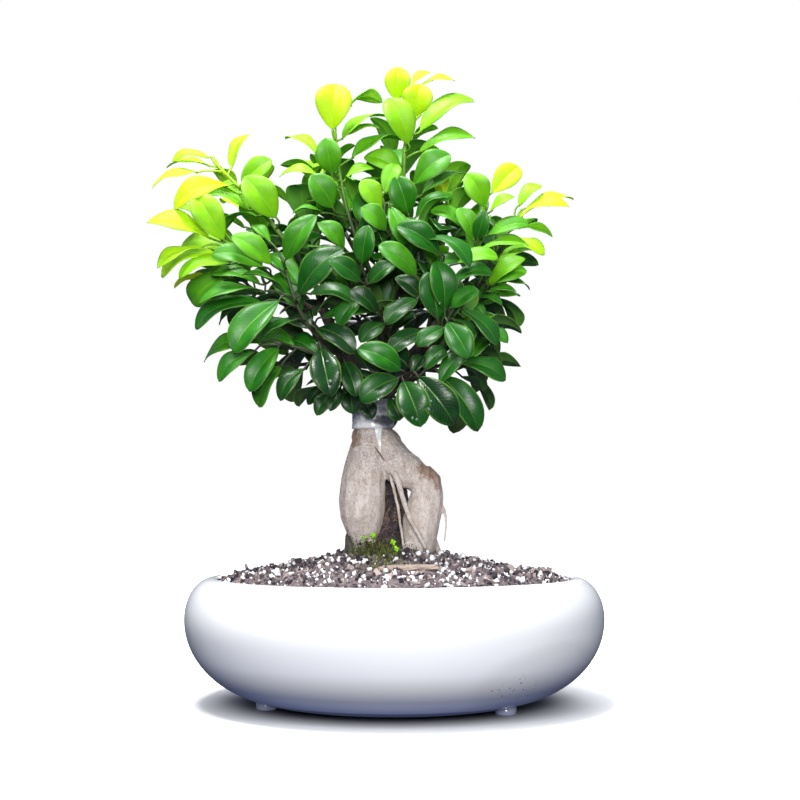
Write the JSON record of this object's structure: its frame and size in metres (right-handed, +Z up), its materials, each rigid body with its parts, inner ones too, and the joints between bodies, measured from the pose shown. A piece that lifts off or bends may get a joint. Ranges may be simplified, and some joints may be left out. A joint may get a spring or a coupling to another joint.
{
  "type": "ginseng ficus in a bowl",
  "caption": "Small grafted ficus with swollen ginseng-like roots, a taped graft and a leafy crown, planted in a glazed bowl of soil.",
  "frame": {"origin": "bottom centre of the whole part's bounding box, on the surface the bowl's feet stand on", "axes": "+Z up; +X to the right and -Y towards the viewer when the twin swollen roots face the viewer"},
  "size_m": [0.3632, 0.336, 0.5211],
  "materials": {
    "bowl_glaze": "smooth glossy white glaze",
    "net_plastic": "matte black moulded mesh",
    "soil": "damp crumbly potting soil",
    "chip_bark": "rough brown bark",
    "fig_bark": "pale beige bark with fine grain",
    "graft_tape": "stretched silvery film in overlapping turns",
    "branch_bark": "grey-brown young bark",
    "leaf_young": "young lime leaves with a soft sheen",
    "leaf_green": "glossy mid-green leaves",
    "leaf_dark": "glossy dark green leaves"
  },
  "bodies": {
    "root": {"bowl": "bowl_glaze", "drain_net": "net_plastic", "soil": "soil", "bark_chip": "chip_bark", "caudex": "fig_bark", "graft_tape": "graft_tape", "branches": "branch_bark", "shoot_leader_top": "leaf_young", "shoot_leader_left": "leaf_young", "shoot_left_high": "leaf_young", "shoot_left_mid": "leaf_young", "shoot_left_front": "leaf_green", "shoot_left_low": "leaf_dark", "shoot_low_back_left": "leaf_dark", "shoot_low_front": "leaf_dark", "shoot_low_right": "leaf_dark", "shoot_right_front": "leaf_dark", "shoot_right_mid": "leaf_green", "shoot_right_low_out": "leaf_green", "shoot_right_high": "leaf_young", "shoot_right_high_out": "leaf_young", "shoot_centre_front": "leaf_dark", "shoot_centre_high": "leaf_green", "shoot_back_high": "leaf_young", "shoot_back_high_left": "leaf_young", "shoot_back_high_right": "leaf_young", "shoot_back_mid": "leaf_young", "shoot_back_mid_left": "leaf_young", "shoot_back_mid_right": "leaf_young", "shoot_left_back_high": "leaf_young", "shoot_left_back": "leaf_young", "shoot_left_out": "leaf_green", "shoot_back_low": "leaf_dark", "shoot_back_low_left": "leaf_green", "shoot_back_low_right": "leaf_green", "shoot_right_back": "leaf_young", "shoot_under_back": "leaf_dark", "shoot_under_left": "leaf_dark", "shoot_under_right": "leaf_dark", "shoot_inner_left": "leaf_young", "shoot_inner_right": "leaf_young", "shoot_inner_front_low": "leaf_dark", "shoot_inner_front_mid": "leaf_green", "shoot_inner_front_right": "leaf_green", "shoot_inner_low_mid": "leaf_dark", "shoot_inner_low_right": "leaf_dark", "shoot_inner_high": "leaf_green", "shoot_inner_mid_left": "leaf_dark", "shoot_inner_mid_right": "leaf_dark"}
  },
  "joints": []
}
